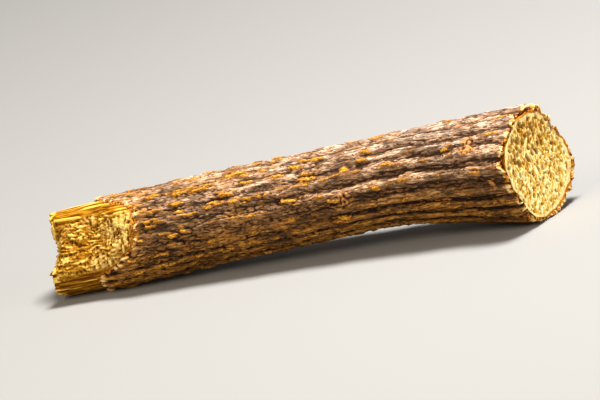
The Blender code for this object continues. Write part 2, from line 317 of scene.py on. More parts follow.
class Solid:
    """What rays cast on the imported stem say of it: its centreline, its radius, and where its parts end."""

    def __init__(self, node):
        corners = [v.co for v in node.data.vertices]
        self.tree = BVHTree.FromPolygons(corners, [p.vertices for p in node.data.polygons])
        self.low, self.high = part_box(node.name)
        self.along_y, self.along_z = self.fitted_centreline()
        self.angles = np.arange(COLUMNS) * math.tau / COLUMNS
        self.plane = self.fitted_cut()
        self.tip, self.bark_start = self.found_edges()
        self.bark_end = self.found_end()

    def gap(self, start, direction):
        """How far a ray goes before it meets the stem, or None."""
        return self.tree.ray_cast(start, direction, 3 * FAR)[3]

    def fitted_centreline(self):
        """Curves for the centreline's Y and Z over X, through the middles of sections."""
        stations = np.linspace(self.low.x + END_MARGIN, self.high.x - END_MARGIN, STATIONS)
        middles = []
        for x in stations:
            top = FAR - self.gap((x, 0, FAR), (0, 0, -1))
            bottom = -FAR + self.gap((x, 0, -FAR), (0, 0, 1))
            z = (top + bottom) / 2
            left = -FAR + self.gap((x, -FAR, z), (0, 1, 0))
            right = FAR - self.gap((x, FAR, z), (0, -1, 0))
            middles.append(((left + right) / 2, z))
        y, z = np.array(middles).T
        return np.polyfit(stations, y, 3), np.polyfit(stations, z, 5)

    def centre(self, x):
        """The centreline's Y and Z at a distance along X."""
        return np.polyval(self.along_y, x), np.polyval(self.along_z, x)

    def points(self, x, angle, radius):
        """Points at distances along X, at angles round the centreline and radii from it."""
        y, z = self.centre(x)
        return np.stack([x + 0 * angle, y + radius * np.cos(angle), z + radius * np.sin(angle)], axis=-1)

    def radius(self, x, angle):
        """The stem's radius at distances along X and angles round it."""
        x, angle = np.broadcast_arrays(x, angle)
        starts = self.points(x, angle, FAR).reshape(-1, 3).tolist()
        inward = -np.stack([0 * angle, np.cos(angle), np.sin(angle)], axis=-1).reshape(-1, 3)
        gaps = [self.gap(start, way) for start, way in zip(starts, inward.tolist())]
        return np.array([0.0 if g is None else FAR - g for g in gaps]).reshape(x.shape)

    def fitted_cut(self):
        """The plane of the clean cut, as x = a + b y + c z."""
        middle_y, middle_z = self.centre(self.high.x - NEAR_CUT)
        start_x = self.high.x + FAR
        rows = []
        for radius in np.linspace(2, 6, 5) * MM:
            for angle in np.arange(16) * math.tau / 16:
                y = middle_y + radius * math.cos(angle)
                z = middle_z + radius * math.sin(angle)
                rows.append((1, y, z, start_x - self.gap((start_x, y, z), (-1, 0, 0))))
        table = np.array(rows)
        return np.linalg.lstsq(table[:, :3], table[:, 3], rcond=None)[0]

    def cut_x(self, y, z):
        """Where the plane of the clean cut lies."""
        a, b, c = self.plane
        return a + b * y + c * z

    def found_edges(self):
        """For each column, where the wood begins, and where it steps up to the bark."""
        x = np.arange(self.low.x, self.low.x + LONGEST_STUB, SEARCH_STEP)
        radius = self.radius(x[:, None], self.angles[None, :])
        tip = x[np.argmax(radius > TIP_RADIUS, axis=0)]
        well_in = x[:, None] > tip[None, :] + SHORTEST_STUB
        rise = np.zeros_like(radius)
        rise[:-2] = radius[2:] - radius[:-2]
        start = x[np.argmax(np.where(well_in, rise, 0), axis=0)] + SEARCH_STEP
        neighbours = np.stack([np.roll(start, k) for k in range(-6, 7)])
        return blurred_round(tip, 1.5), blurred_round(np.median(neighbours, axis=0), 2)

    def found_end(self):
        """For each column, where the bark meets the plane of the cut."""
        x = self.high.x - END_MARGIN + 0 * self.angles
        for _ in range(3):
            y, z = self.centre(x)
            radius = self.radius(x - EDGE_MARGIN, self.angles)
            x = self.cut_x(y + radius * np.cos(self.angles), z + radius * np.sin(self.angles))
        return x


def ridge_column(ribs, ring, column, reach=9):
    """The column of the highest rib near a place on the bark."""
    window = np.arange(column - reach, column + reach + 1) % COLUMNS
    return int(window[np.argmax(ribs[ring, window])])


def fleck_shape(x, across, half_length, half_width, tilt, ragged):
    """How far each point is inside one fleck, from 0 to 1, by its distances along and across the stem."""
    u = x * math.cos(tilt) + across * math.sin(tilt)
    v = across * math.cos(tilt) - x * math.sin(tilt)
    return smooth(1.35, 0.6, np.hypot(u / half_length, v / half_width) + 0.9 * ragged)


def fleck_relief(x, angles, radius, ribs, ragged):
    """How far each point of the bark is inside one of its raised corky flecks, from 0 to 1."""
    draw = random.Random(SEED)
    inside = np.zeros_like(radius)
    rings = len(radius)
    for _ in range(FLECKS):
        share = draw.random() ** FLECK_BIAS
        ring = int(share * (rings - 1))
        column = ridge_column(ribs, ring, draw.randrange(COLUMNS))
        column = (column + draw.choice((-3, -2, -1, 0, 1))) % COLUMNS
        half_length = draw.uniform(*FLECK_HALF_LENGTHS) * blend(1.0, 0.7, share) * MM
        half_width = draw.uniform(*FLECK_HALF_WIDTHS) * MM
        tilt = math.radians(draw.gauss(2, 7))
        strength = draw.uniform(0.35, 1.0) * blend(1.0, 0.75, share)
        along = x - x[ring, column]
        across = radius * turn_between(angles[column], angles)[None, :]
        shape = fleck_shape(along, across, half_length, half_width, tilt, ragged)
        inside = np.maximum(inside, strength * shape)
    for fleck_x, degrees, half_length, half_width in BRIGHT_FLECKS:
        across = radius * turn_between(math.radians(degrees), angles)[None, :]
        tilt = math.radians(draw.gauss(3, 4))
        shape = fleck_shape(x - fleck_x * MM, across, half_length * MM, half_width * MM, tilt, ragged)
        inside = np.maximum(inside, shape)
    return inside


def scar_relief(x, angles, radius, points):
    """The height of the scars, which are bundles of knobs, and how far each point is inside one."""
    inside = np.zeros_like(radius)
    rough = noise_at(points, lengthwise(0.9, 0.9), 11)
    knobs = noise_at(points, lengthwise(0.5, 0.75), 12)
    for scar_x, scar_angle, half_length, half_width in SCARS:
        across = radius * turn_between(scar_angle, angles)[None, :]
        away = np.hypot((x - scar_x) / half_length, across / half_width)
        inside = np.maximum(inside, smooth(1.25, 0.75, away + 0.5 * rough))
    return SCAR_HEIGHT * inside * (0.5 + 2.2 * knobs), inside


def bark_stations(solid, share):
    """How far along X each point of the bark's outside lies, with its torn and its chipped edge."""
    edge_points = solid.points(solid.bark_start, solid.angles, BARK_EDGE_RADIUS)
    torn = torn_edge(edge_points, 1.1, 0.45, 1)
    chips = CHIPS_DEPTH * smooth(0.0, 0.6, noise_at(edge_points, lengthwise(9, 1.2), 22))
    chip_angle, chip_half_width, chip_depth = CHIP
    away = abs(turn_between(chip_angle, solid.angles))
    chips += chip_depth * smooth(chip_half_width, 0.4 * chip_half_width, away)
    length = solid.bark_end - solid.bark_start
    return solid.bark_start + share * length + torn * (1 - share) ** 24 - chips * share**30


def bark_ribs(solid, x, even):
    """The radius measured under each point of the bark, and how far that is up a rib or down a furrow."""
    sampled = np.clip(x, solid.bark_start + EDGE_MARGIN, solid.bark_end - EDGE_MARGIN)
    wander = RIB_WANDER * noise_at(even, lengthwise(9, 3.5), 10)
    radius = solid.radius(sampled, solid.angles[None, :] + wander)
    radius = blurred_along(blurred_round(radius, BARK_SMOOTH_COLUMNS), BARK_SMOOTH_RINGS)
    return radius, radius - blurred_round(radius, RIB_WIDTH_COLUMNS)


def bark_cracks(points, even, toward_cut):
    """1 along the cracks between the bark's plates, and along finer ones. They are longer near the cut."""
    plates = blend(
        np.maximum(
            cracks(points, lengthwise(4.2, 1.0), CRACK_WIDTH, 3),
            0.8 * cracks(points, lengthwise(1.3, 0.75), CRACK_WIDTH, 25),
        ),
        0.8 * cracks(points, lengthwise(14, 0.9), CRACK_WIDTH, 23),
        toward_cut,
    )
    fine = np.maximum(
        cracks(points, lengthwise(1.7, 0.5), CRACK_WIDTH, 4),
        creases(points, lengthwise(5, 0.5), 0.18, 5),
    )
    fine *= smooth(-0.35, 0.25, noise_at(even, lengthwise(3.5, 1.5), 24))
    return plates, fine


def bark_surface(solid):
    """How far along each point of the bark's outside lies, its radius, and its masks."""
    angles = solid.angles
    share = np.linspace(0, 1, BARK_RINGS)[:, None]
    x = bark_stations(solid, share)
    even = solid.points(x, angles[None, :], BARK_RADIUS)
    radius, ribs = bark_ribs(solid, x, even)
    toward_cut = smooth(0.35, 0.75, share)
    ribbed = toward_cut * blend(0.3, 1.0, smooth(-0.6, 0.4, np.sin(angles)))
    radius = radius + ribs * (blend(*RIB_SHARES, ribbed) - 1)
    radius += LUMP_HEIGHT * noise_at(even, lengthwise(3.4, 1.3), 16)
    points = solid.points(x, angles[None, :], radius)
    points[..., 1:] += (0.5 * MM * noise_at(even, lengthwise(4, 3), 17))[..., None]

    patchy = smooth(-0.3, 0.3, noise_at(even, lengthwise(6, 2.2), 18))
    # where painted shade goes in the furrows: the deeper the bark sinks below its ribs, the more
    furrow = smooth(0.1 * MM, 0.45 * MM, -ribs) * blend(0.35, 1.0, patchy)
    plates, fine = bark_cracks(points, even, toward_cut)
    pebbles = noise_at(points, lengthwise(0.9, 0.5), 6) + 0.8 * noise_at(points, lengthwise(0.4, 0.26), 7)
    ragged = noise_at(points, lengthwise(0.45, 0.32), 8)
    flecks = fleck_relief(x, angles, radius, blurred_along(ribs, 4), ragged)
    scars, in_scar = scar_relief(x, angles, radius, points)
    crust = 0.6 * MM * noise_at(even, lengthwise(0.8, 0.8), 9)
    rim = np.maximum(
        smooth(1.5 * MM, 0.6 * MM, x - x[0] + crust),
        smooth(0.7 * MM, 0.3 * MM, x[-1] - x + 0.7 * crust),
    )

    relief = -PLATE_CRACK_DEPTH * plates * blend(1.0, 0.6, patchy)
    relief -= FINE_CRACK_DEPTH * fine
    relief += PEBBLE_HEIGHT * pebbles + scars
    relief = blend(relief, FLECK_HEIGHT + 0.5 * PEBBLE_HEIGHT * pebbles, flecks)
    relief += BEAD_HEIGHT * rim * noise_at(points, lengthwise(1.2, 0.8), 19)
    radius = radius + relief + BARK_LIFT
    height = radius - blurred_round(blurred_along(radius, 1.6), 3.5)
    masks = {
        "height": np.clip(0.5 + height / HEIGHT_SPAN, 0, 1),
        "furrow": furrow * blend(0.6, 1.0, ribbed),
        "fleck": flecks,
        "scar": in_scar,
        "rim": rim,
        # painted shade: 0 on the stem's top and 1 on its underside, where the bark's colours turn darker and
        # warmer
        "under": smooth(0.95, -0.45, np.sin(angles))[None, :] + 0 * radius,
        "warm": smooth(0.8, 0.15, share + 0.2 * patchy),
    }
    return x, radius, masks


def cut_rim_rows(solid, x, outer, inner):
    """Rows of the bark's rough rim on the clean cut, from its outside to its inside."""
    beads = noise_at(solid.points(x, solid.angles, outer), lengthwise(1, 0.5), 20)
    near_back = smooth(-0.1, 0.5, np.cos(solid.angles))
    rows = []
    for depth in CUT_RIM_DEPTHS:
        edge = blend(outer - CUT_LIP, inner, depth)
        bulge = math.sin(math.pi * min(depth * 1.3, 1))
        # the rim's height, which sets the painted shade in its gaps and its pale beads: it falls toward the
        # inside and rises toward the back
        level = 0.38 - 0.25 * depth + 0.35 * near_back + 0.9 * beads
        masks = {"rim": np.ones_like(edge), "height": np.clip(level, 0, 1)}
        rows.append((x + BEAD_HEIGHT * bulge * (0.3 + beads), edge, masks))
    return rows


def torn_rim_rows(solid, x, outer, inner):
    """Rows of the bark's rim at its torn end, from its inside to its outside."""
    teeth = noise_at(solid.points(x, solid.angles, outer), lengthwise(1, 0.6), 21)
    rows = []
    for depth in TORN_RIM_DEPTHS:
        edge = blend(outer - EDGE_THINNING, inner - 0.2 * MM, depth)
        bulge = math.sin(math.pi * depth)
        masks = {"rim": np.ones_like(edge), "height": np.clip(0.5 + 0.9 * teeth, 0, 1)}
        rows.append((x + BEAD_HEIGHT * bulge * teeth + 0.3 * MM * depth, edge, masks))
    return rows


def bark_rows(solid):
    """All the rows of the bark's closed shell: its outside, its cut rim, its inside and its torn rim."""
    x, radius, masks = bark_surface(solid)
    thickness = blend(*BARK_THICKNESS, np.linspace(0, 1, BARK_RINGS)[:, None])
    inner = blurred_round(radius, 12) - thickness
    rows = []
    for ring in range(BARK_RINGS):
        lip = EDGE_THINNING * max(0, 1 - ring / EDGE_THINNING_RINGS) ** 1.5
        lip += CUT_LIP * max(0, 1 - (BARK_RINGS - 1 - ring) / CUT_LIP_RINGS)
        rows.append((x[ring], radius[ring] - lip, {key: grid[ring] for key, grid in masks.items()}))
    rows += cut_rim_rows(solid, x[-1], radius[-1], inner[-1])
    for share in INSIDE_SHARES:
        ring = int(share * (BARK_RINGS - 1))
        rows.append((x[ring], inner[ring], {"rim": np.ones_like(inner[ring])}))
    rows += torn_rim_rows(solid, x[0], radius[0], inner[0])
    return rows


def pit_places(limit):
    """Places and sizes of the open pores in the cut wood, kept apart and larger near the top."""
    draw = random.Random(SEED + 1)
    pits = list(BIG_PITS)
    while len(pits) < PITS:
        angle = draw.uniform(0, math.tau)
        distance = limit * math.sqrt(draw.random()) * 0.93
        y = distance * math.cos(angle)
        z = distance * math.sin(angle)
        size = draw.uniform(0.13, 0.25) * MM * (1.5 if z > 0.2 * limit else 1.0)
        if all(math.hypot(y - py, z - pz) > PIT_GAP for py, pz, _ in pits):
            pits.append((y, z, size))
    return pits


def pit_relief(y, z, limit):
    """How far each point of the cut is inside one of the wood's open pores, from 0 to 1."""
    draw = random.Random(SEED + 2)
    inside = np.zeros_like(y)
    ragged = noise_at(np.stack([0 * y, y, z], axis=-1), on_cut(0.3, 0.4), 30)
    for pit_y, pit_z, size in pit_places(limit):
        stretch = draw.uniform(1.1, 2.0)
        lean = draw.gauss(math.radians(100), 0.35)
        u = (y - pit_y) * math.cos(lean) + (z - pit_z) * math.sin(lean)
        v = (z - pit_z) * math.cos(lean) - (y - pit_y) * math.sin(lean)
        away = np.hypot(u / (size * stretch), v / size) + 0.4 * ragged
        inside = np.maximum(inside, draw.uniform(0.7, 1) * smooth(1.3, 0.9, away))
    return inside


def face_rows(solid):
    """Rows for the wood on the clean cut, from its outline to near its middle."""
    angles = solid.angles
    end = solid.bark_end
    rim = blurred_round(solid.radius(end - EDGE_MARGIN, angles), 5) - BARK_THICKNESS[1] + WOOD_LAP
    share = np.linspace(1, 1 / FACE_RINGS, FACE_RINGS)[:, None]
    middle_x = solid.cut_x(*solid.centre(solid.high.x - NEAR_CUT))
    middle_y, middle_z = solid.centre(middle_x)
    y = share * rim * np.cos(angles)
    z = share * rim * np.sin(angles)
    flat = np.stack([0 * y, y, z], axis=-1)
    pits = pit_relief(y, z, float(rim.mean()))
    bent = flat + (0.5 * MM * noise_at(flat, on_cut(1.1, 1.1), 31))[..., None]
    net = cracks(bent, on_cut(0.6, 1.1), 0.32, 36)
    strands = 0.8 * net - 0.3 + 1.3 * noise_at(bent, on_cut(0.3, 0.95), 32)
    strands += 0.5 * noise_at(flat, on_cut(0.2, 0.35), 33)
    swell = noise_at(flat, on_cut(2.6, 2.6), 34)
    near_side = 0.08 * smooth(0.1, -0.5, np.cos(angles))
    pores = smooth(0.4, 0.55, noise_at(flat, on_cut(0.3, 0.5), 35)) * (1 - net)
    relief = STRAND_HEIGHT * strands + 0.08 * MM * swell - PIT_DEPTH * pits - PORE_DEPTH * pores
    x = solid.cut_x(y + middle_y, z + middle_z) + relief
    points = np.stack([x, y + middle_y, z + middle_z], axis=-1)
    masks = {
        "pit_and_tip_shade": np.maximum(pits, 0.5 * pores),
        "strand": np.clip(0.5 + 0.55 * strands, 0, 1),
        "cut": np.ones_like(y),
        "ring": share + 0.03 * noise_at(flat, on_cut(0.9, 0.9), 37) - near_side,
        # on the cut, its upper part, which the cut's colours darken as painted shade
        "split": smooth(-0.1, 0.8, z / rim + 0.35 * swell),
        "soft": np.zeros_like(y),
    }
    return points, masks


def broken_side(points, angles, share, dip):
    """1 in the hollow that a split-off sliver left in the bare wood, and wherever the wood dips, else 0."""
    tip_side, bark_side, low_side = BROKEN_SIDE
    waver = math.radians(6) * noise_at(points, lengthwise(2, 1.2), 42)
    above = angles - blend(tip_side, bark_side, share) + waver
    below = low_side - angles + waver
    split = smooth(-0.1, 0.03, above) * smooth(-0.1, 0.1, below)
    return np.maximum(split, smooth(0.12 * MM, 0.45 * MM, dip))


def torn_wood(points, share):
    """The torn wood's tufts and pores, and how far its fibres run crosswise, as they do near the bark."""
    bent = points + (0.3 * MM * noise_at(points, lengthwise(1.5, 1.5), 49))[..., None]
    net = cracks(bent, lengthwise(0.65, 0.8), CRACK_WIDTH, 47)
    crosswise = smooth(-0.5, 0.5, noise_at(points, lengthwise(3, 3), 54) + 1.6 * share - 0.9)
    tufts = 0.5 * net - 0.15 + 0.4 * noise_at(points, lengthwise(2.2, 1.6), 46)
    tufts += 1.1 * crosswise * noise_at(bent, lengthwise(0.35, 1.5), 45)
    tufts += 1.1 * (1 - crosswise) * noise_at(bent, lengthwise(1.6, 0.35), 55)
    tufts += 0.4 * noise_at(points, lengthwise(0.3, 0.25), 52)
    pores = smooth(0.25, 0.45, noise_at(bent, lengthwise(0.6, 0.5), 48)) * (1 - net)
    return tufts, pores, crosswise


def stub_rows(solid):
    """Rows for the bare wood at the broken end, from its tip to under the bark, with its masks."""
    angles = solid.angles
    share = np.linspace(0, 1, STUB_RINGS)[:, None]
    under = solid.bark_start + STUB_LAP
    broken = torn_edge(solid.points(solid.tip, angles, WOOD_RADIUS), 0.6, 0.28, 40)
    x = solid.tip + share * (under - solid.tip) + broken * (1 - share) ** 10
    sampled = np.clip(x, solid.tip + 0.5 * MM, solid.bark_start - 0.5 * MM)
    radius = solid.radius(sampled, angles[None, :])
    round_radius = np.percentile(radius, 80, axis=1)[:, None]
    radius = blurred_along(blurred_round(radius, 3), 4)
    radius += STUB_SWELL * smooth(0.4, 0.9, np.sin(angles))[None, :] * blend(0.5, 1.0, share)
    points = solid.points(x, angles[None, :], radius)
    split = broken_side(points, angles, share, round_radius - radius)
    tufts, pores, crosswise = torn_wood(points, share)
    fibres = noise_at(points, lengthwise(14, 0.5), 43) + 0.6 * noise_at(points, lengthwise(8, 0.24), 44)
    near_tip = smooth(1.4 * MM, 0.3 * MM, x - x[0]) * (0.4 + noise_at(points, lengthwise(0.8, 0.5), 53))
    relief = FIBRE_HEIGHT * fibres * blend(1.0, 0.3, split)
    relief += split * (TUFT_HEIGHT * tufts - TORN_PORE_DEPTH * pores)
    strand = 0.5 + blend(0.8, 0.6, split) * blend(fibres, tufts, split) + near_tip
    masks = {
        "pit_and_tip_shade": 0.85 * split * pores,
        "strand": np.clip(strand, 0, 1),
        "cut": np.zeros_like(radius),
        "ring": smooth(1.0 * MM, 0.2 * MM, solid.bark_start - x + 0.5 * MM * tufts),
        "split": split,
        "soft": split * crosswise,
    }
    return solid.points(x, angles[None, :], radius + relief), masks


def tip_rows(rim):
    """Rows for the rough broken end of the wood, from near its middle to its rim, with painted shade in its
    low parts.
    """
    middle = rim.mean(axis=0)
    share = np.linspace(1 / TIP_RINGS, 1 - 1 / TIP_RINGS, TIP_RINGS - 1)[:, None, None]
    points = middle + share * (rim[None] - middle)
    flat = points * np.array((0, 1, 1))
    rough = 0.5 * MM * noise_at(flat, on_cut(1.3, 1.3), 50)
    rough += 0.35 * MM * noise_at(flat, on_cut(0.45, 0.45), 51)
    fade = (1 - share[..., 0] ** 6) + 0 * rough
    points[..., 0] += rough * fade
    level = np.clip(0.5 + rough / (0.8 * MM), 0, 1)
    masks = {
        # painted shade in the broken end's low parts
        "pit_and_tip_shade": smooth(0.4, 0.1, level),
        "strand": level,
        "cut": np.zeros_like(rough),
        "ring": np.zeros_like(rough),
        "split": np.ones_like(rough),
        "soft": np.zeros_like(rough),
    }
    return points, masks


def grid_mesh(name, rows, masks, closed_loop):
    """A closed mesh through rows of points: a ring of rows, or a skin drawn together at both ends."""
    count = len(rows)
    corners = rows.reshape(-1, 3).tolist()
    faces = []
    steps = count if closed_loop else count - 1
    for row in range(steps):
        here = row * COLUMNS
        there = (row + 1) % count * COLUMNS
        for column in range(COLUMNS):
            after = (column + 1) % COLUMNS
            faces.append((here + column, here + after, there + after, there + column))
    values = {key: list(grid.reshape(-1)) for key, grid in masks.items()}
    if not closed_loop:
        for row in (0, count - 1):
            pole = len(corners)
            corners.append(rows[row].mean(axis=0).tolist())
            for column in range(COLUMNS):
                faces.append((row * COLUMNS + column, row * COLUMNS + (column + 1) % COLUMNS, pole))
            for key, grid in masks.items():
                values[key].append(float(grid[row].mean()))
    mesh = bpy.data.meshes.new(name)
    mesh.from_pydata(corners, [], faces)
    for key, numbers in values.items():
        mesh.attributes.new(key, "FLOAT", "POINT").data.foreach_set("value", numbers)
    shape = bmesh.new()
    shape.from_mesh(mesh)
    bmesh.ops.recalc_face_normals(shape, faces=shape.faces)
    shape.to_mesh(mesh)
    shape.free()
    mesh.polygons.foreach_set("use_smooth", [True] * len(mesh.polygons))
    return mesh


def add_piece(name, mesh, material):
    """Puts a piece in the scene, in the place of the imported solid."""
    piece = bpy.data.objects.new(name, mesh)
    mesh.materials.append(material)
    bpy.context.scene.collection.objects.link(piece)
    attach(piece, "root")
    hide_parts("stem")
    return piece


def make_bark(solid):
    """The bark, a closed shell that is torn at one end and cut at the other."""
    rows = bark_rows(solid)
    points = np.stack([solid.points(x, solid.angles, radius) for x, radius, _ in rows])
    points[..., 2] = np.maximum(points[..., 2], 0)
    masks = {}
    for key in rows[0][2]:
        plain = np.full(COLUMNS, 0.5 if key == "height" else 0.0)  # for the rows without this mask
        masks[key] = np.stack([found.get(key, plain) for _, _, found in rows])
    return add_piece("bark", grid_mesh("bark", points, masks, True), bark_material())


def make_wood(solid):
    """The wood, bare at both ends and hidden by the bark between them."""
    stub, stub_masks = stub_rows(solid)
    tip, tip_masks = tip_rows(stub[0])
    face, face_masks = face_rows(solid)
    hidden = []
    for share in HIDDEN_SHARES:
        x = blend(stub[-1, :, 0], face[0, :, 0], share)
        depth = blend(1.1 * BARK_THICKNESS[0], BARK_THICKNESS[1], share**12)
        radius = blurred_round(solid.radius(np.minimum(x, solid.bark_end - EDGE_MARGIN), solid.angles), 12)
        hidden.append(solid.points(x, solid.angles, radius - depth))
    hidden = np.stack(hidden)
    rows = np.concatenate([tip, stub, hidden, face])
    rows[..., 2] = np.maximum(rows[..., 2], 0)
    masks = {}
    for key in face_masks:
        between = np.zeros(hidden.shape[:2])
        between[-1] = {"ring": 1.0, "strand": 0.5}.get(key, 0.0)  # runs on into the cut's dark ring
        masks[key] = np.concatenate([tip_masks[key], stub_masks[key], between, face_masks[key]])
    return add_piece("wood", grid_mesh("wood", rows, masks, False), wood_material())


class Nodes:
    """Short calls that build one material's nodes."""

    def __init__(self, name):
        self.material = bpy.data.materials.new(name)
        self.material.use_nodes = True
        self.tree = self.material.node_tree
        self.shader = self.tree.nodes["Principled BSDF"]
        self.place = self.add("ShaderNodeTexCoord").outputs["Object"]

    def add(self, kind, **settings):
        node = self.tree.nodes.new(kind)
        for key, value in settings.items():
            setattr(node, key, value)
        return node

    def put(self, socket, value):
        """Links a socket to an output, or sets it to a value."""
        if isinstance(value, bpy.types.NodeSocket):
            self.tree.links.new(value, socket)
        elif isinstance(value, tuple) and len(value) == 3:
            socket.default_value = (*value, 1.0)
        else:
            socket.default_value = value

    def mask(self, name):
        """A value stored in the mesh."""
        return self.add("ShaderNodeAttribute", attribute_name=name).outputs["Fac"]

    def stretched(self, size, stretch):
        """Places on the piece, in units of a spot's size, with spots drawn out along the stem."""
        scaled = self.add("ShaderNodeVectorMath", operation="MULTIPLY")
        self.put(scaled.inputs[0], self.place)
        scaled.inputs[1].default_value = (1 / (size * stretch), 1 / size, 1 / size)
        return scaled.outputs[0]

    def noise(self, size, stretch=1.0, detail=3.0, rough=0.55):
        """Noise from 0 to 1 with spots of that size, drawn out along the stem."""
        found = self.add("ShaderNodeTexNoise")
        self.put(found.inputs["Vector"], self.stretched(size, stretch))
        found.inputs["Scale"].default_value = 1.0
        found.inputs["Detail"].default_value = detail
        found.inputs["Roughness"].default_value = rough
        return found.outputs["Fac"]

    def cracks(self, size, stretch):
        """0 along thin cracks between plates of that size, drawn out along the stem."""
        place = self.stretched(size, stretch)
        bent = self.add("ShaderNodeTexNoise")
        self.put(bent.inputs["Vector"], place)
        bent.inputs["Scale"].default_value = 0.7
        moved = self.add("ShaderNodeVectorMath", operation="ADD")
        self.put(moved.inputs[0], place)
        self.put(moved.inputs[1], bent.outputs["Color"])
        found = self.add("ShaderNodeTexVoronoi", feature="DISTANCE_TO_EDGE")
        self.put(found.inputs["Vector"], moved.outputs[0])
        found.inputs["Scale"].default_value = 1.0
        return found.outputs["Distance"]

    def step(self, value, low, high):
        """0 below low, 1 above high, and an even S between."""
        found = self.add("ShaderNodeMapRange", interpolation_type="SMOOTHSTEP")
        self.put(found.inputs["Value"], value)
        found.inputs["From Min"].default_value = low
        found.inputs["From Max"].default_value = high
        return found.outputs["Result"]

    def sum(self, a, b, operation="ADD"):
        """Two values added, or put together in another way."""
        found = self.add("ShaderNodeMath", operation=operation)
        self.put(found.inputs[0], a)
        self.put(found.inputs[1], b)
        return found.outputs[0]

    def times(self, a, b):
        """Two values multiplied."""
        return self.sum(a, b, "MULTIPLY")

    def mix(self, share, a, b):
        """Mixes two colours, by the sockets that carry colour in a mix node."""
        found = self.add("ShaderNodeMix", data_type="RGBA")
        self.put(found.inputs[0], share)
        self.put(found.inputs[6], a)
        self.put(found.inputs[7], b)
        return found.outputs[2]

    def bump(self, height, distance, strength):
        """Gives the surface fine bumps."""
        found = self.add("ShaderNodeBump")
        self.put(found.inputs["Height"], height)
        found.inputs["Distance"].default_value = distance
        found.inputs["Strength"].default_value = strength
        self.put(self.shader.inputs["Normal"], found.outputs["Normal"])


def bark_ground(nodes, height, streaks, patches, tone):
    """The bark's streaks and patches, pale on its high ridges partly as wear and partly as painted
    highlight, and darker and warmer underneath as painted shade.
    """
    # painted shade: the bark's colours are darker and warmer where this is 1, on the underside
    under = nodes.mask("under")
    dark = nodes.mix(under, *STREAK_DARK)
    light = nodes.mix(under, *STREAK_LIGHT)
    colour = nodes.mix(nodes.step(streaks, 0.38, 0.62), dark, light)
    yellow = nodes.times(nodes.step(patches, 0.42, 0.62), nodes.mask("warm"))
    colour = nodes.mix(nodes.times(yellow, 0.7), colour, YELLOW_PATCH)
    wisps = nodes.noise(0.34 * MM, stretch=3, detail=2)
    # pale where the relief is high: partly wear and partly painted highlight
    worn_and_highlight = nodes.times(nodes.step(height, 0.42, 0.76), nodes.step(wisps, 0.38, 0.56))
    pale = nodes.mix(under, nodes.mix(nodes.mask("warm"), *WORN_AND_HIGHLIGHT_TOP), WORN_AND_HIGHLIGHT_UNDER)
    colour = nodes.mix(worn_and_highlight, colour, pale)
    bright = nodes.times(nodes.step(tone, 0.52, 0.66), 0.45)
    return nodes.mix(bright, colour, nodes.mix(under, *BRIGHT_STREAK))


def bark_darks(nodes, colour, height, streaks, patches, tone, gaps):
    """Dark streaks, painted shade in the furrows, thin cracks, dark patches and painted shade in the cracks
    where the relief is low, over the bark's colour.
    """
    shade = nodes.times(nodes.step(tone, 0.5, 0.36), 0.75)
    colour = nodes.mix(shade, colour, DARK_STREAK)
    # painted shade in the furrows
    colour = nodes.mix(nodes.times(nodes.mask("furrow"), 0.64), colour, FURROW_SHADE)
    thin = nodes.times(nodes.step(gaps, 0.09, 0.02), nodes.step(streaks, 0.62, 0.45))
    colour = nodes.mix(nodes.times(thin, 0.8), colour, THIN_CRACK)
    gloom = nodes.times(nodes.step(patches, 0.5, 0.38), 0.5)
    colour = nodes.mix(gloom, colour, DARK_PATCH)
    # painted shade where the relief is low, darker still on the underside
    shade_in_cracks = nodes.times(nodes.step(height, 0.47, 0.14), 0.95)
    return nodes.mix(shade_in_cracks, colour, nodes.mix(nodes.mask("under"), *CRACK_SHADE))


def bark_flecks(nodes, colour, specks):
    """Golden corky flecks over the bark's colour: fine chains of them, and the larger raised ones."""
    warmth = nodes.sum(nodes.times(nodes.mask("warm"), 0.7), 0.3)
    chains = nodes.times(nodes.step(nodes.noise(0.55 * MM, stretch=3), 0.57, 0.66), warmth)
    colour = nodes.mix(nodes.times(chains, 0.6), colour, GOLD_CHAIN)
    grains = nodes.noise(0.36 * MM, stretch=1.4, detail=2)
    fleck = nodes.times(nodes.mask("fleck"), nodes.times(grains, 1.8))
    colour = nodes.mix(nodes.times(nodes.step(fleck, 0.02, 0.35), 0.8), colour, FLECK_EDGE)
    gold = nodes.mix(nodes.step(specks, 0.38, 0.6), *FLECK_GOLD)
    return nodes.mix(nodes.step(fleck, 0.3, 0.8), colour, gold)


def bark_rims(nodes, colour, height):
    """Tan scars with painted shade in their low parts, and the bark's orange crumbly rims with pale beads
    and painted shade in their low gaps.
    """
    # painted shade in a scar's low parts, and tan on its knobs
    scar_shade_and_tan = nodes.mix(nodes.step(height, 0.3, 0.75), *SCAR_SHADE_AND_TAN)
    colour = nodes.mix(nodes.times(nodes.mask("scar"), 0.8), colour, scar_shade_and_tan)
    crumbs = nodes.noise(0.55 * MM, detail=2)
    orange = nodes.mix(nodes.step(crumbs, 0.4, 0.5), *RIM_ORANGE)
    bead = nodes.step(nodes.sum(crumbs, height), 1.08, 1.22)
    orange = nodes.mix(bead, orange, RIM_BEAD)
    # painted shade in the rim's low gaps
    orange = nodes.mix(nodes.step(height, 0.35, 0.1), orange, RIM_GAP_SHADE)
    return nodes.mix(nodes.mask("rim"), colour, orange)


